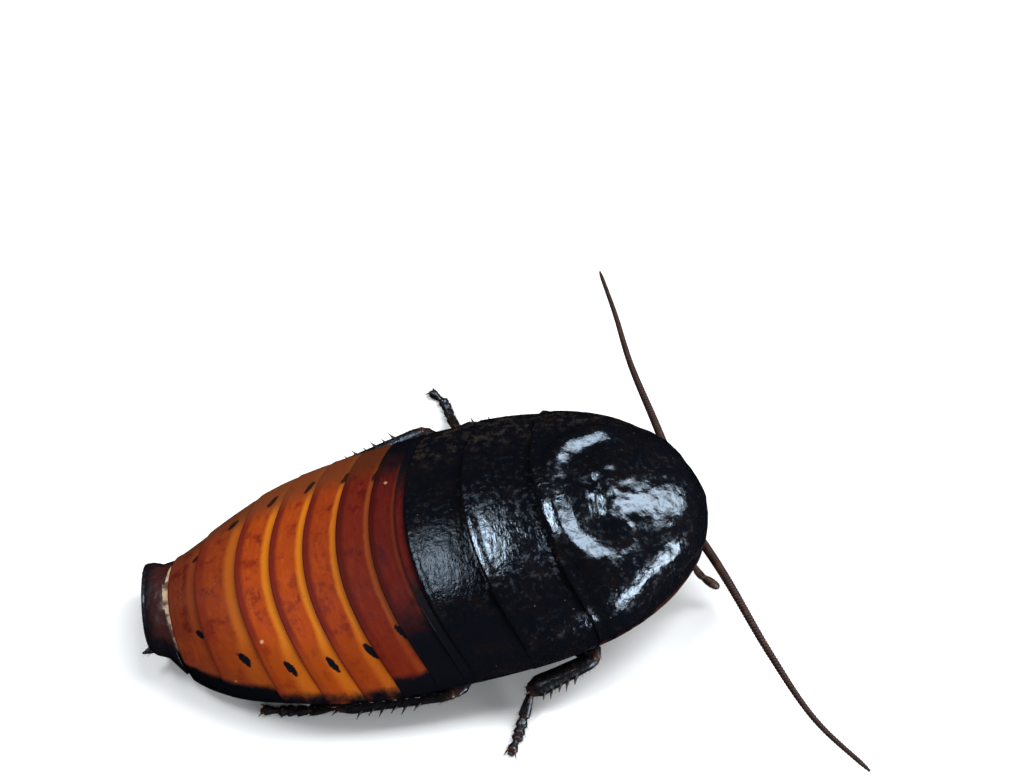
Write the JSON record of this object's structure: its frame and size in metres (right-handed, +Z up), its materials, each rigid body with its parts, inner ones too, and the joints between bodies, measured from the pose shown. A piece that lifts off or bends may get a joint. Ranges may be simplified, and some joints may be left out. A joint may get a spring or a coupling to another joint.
{
  "type": "madagascar hissing cockroach",
  "caption": "Life-size standing hissing cockroach: glossy black hooded thorax, banded orange-brown abdomen, spiny dark legs and two long feelers.",
  "frame": {"origin": "on the floor, under the middle of the whole figure's box, feelers included", "axes": "+X runs along the body towards the head, +Y towards the animal's left side, +Z up from the floor"},
  "size_m": [0.0702, 0.065, 0.0156],
  "materials": {
    "shell_black": "glossy black chitin of the thorax, with fine pits and a bluish sheen",
    "shell_mahogany": "dark mahogany chitin, semi-gloss",
    "shell_red": "red-brown chitin with a darker hind edge, semi-gloss",
    "shell_orange": "orange chitin with a yellow front band and a dark hind edge, semi-gloss",
    "shell_brown": "orange-brown chitin, semi-gloss",
    "belly_brown": "dark brown underside, satin",
    "leg_brown": "brown-black spiny legs, glossy",
    "eye_black": "black faceted eye, shiny",
    "feeler_brown": "dark brown feelers and palps, matt"
  },
  "bodies": {
    "root": {"antenna_left": "feeler_brown", "antenna_right": "feeler_brown", "cercus_left": "leg_brown", "cercus_right": "leg_brown", "eye_left": "eye_black", "eye_right": "eye_black", "front_left_coxa": "leg_brown", "front_left_femur": "leg_brown", "front_left_tarsus": "leg_brown", "front_left_tibia": "leg_brown", "front_right_coxa": "leg_brown", "front_right_femur": "leg_brown", "front_right_tarsus": "leg_brown", "front_right_tibia": "leg_brown", "head": "shell_black", "hind_left_coxa": "leg_brown", "hind_left_femur": "leg_brown", "hind_left_tarsus": "leg_brown", "hind_left_tibia": "leg_brown", "hind_right_coxa": "leg_brown", "hind_right_femur": "leg_brown", "hind_right_tarsus": "leg_brown", "hind_right_tibia": "leg_brown", "labial_palp_left": "feeler_brown", "labial_palp_right": "feeler_brown", "maxillary_palp_left": "feeler_brown", "maxillary_palp_right": "feeler_brown", "mesonotum": "shell_black", "mesosternum": "belly_brown", "metanotum": "shell_black", "metasternum": "belly_brown", "middle_left_coxa": "leg_brown", "middle_left_femur": "leg_brown", "middle_left_tarsus": "leg_brown", "middle_left_tibia": "leg_brown", "middle_right_coxa": "leg_brown", "middle_right_femur": "leg_brown", "middle_right_tarsus": "leg_brown", "middle_right_tibia": "leg_brown", "neck": "belly_brown", "pronotum": "shell_black", "prosternum": "belly_brown", "sternite_1": "belly_brown", "sternite_2": "belly_brown", "sternite_3": "belly_brown", "sternite_4": "belly_brown", "sternite_5": "belly_brown", "sternite_6": "belly_brown", "subgenital_plate": "belly_brown", "supra_anal_plate": "shell_black", "tergite_1": "shell_mahogany", "tergite_2": "shell_mahogany", "tergite_3": "shell_red", "tergite_4": "shell_red", "tergite_5": "shell_orange", "tergite_6": "shell_orange", "tergite_7": "shell_brown", "tergite_8": "shell_brown"}
  },
  "joints": []
}
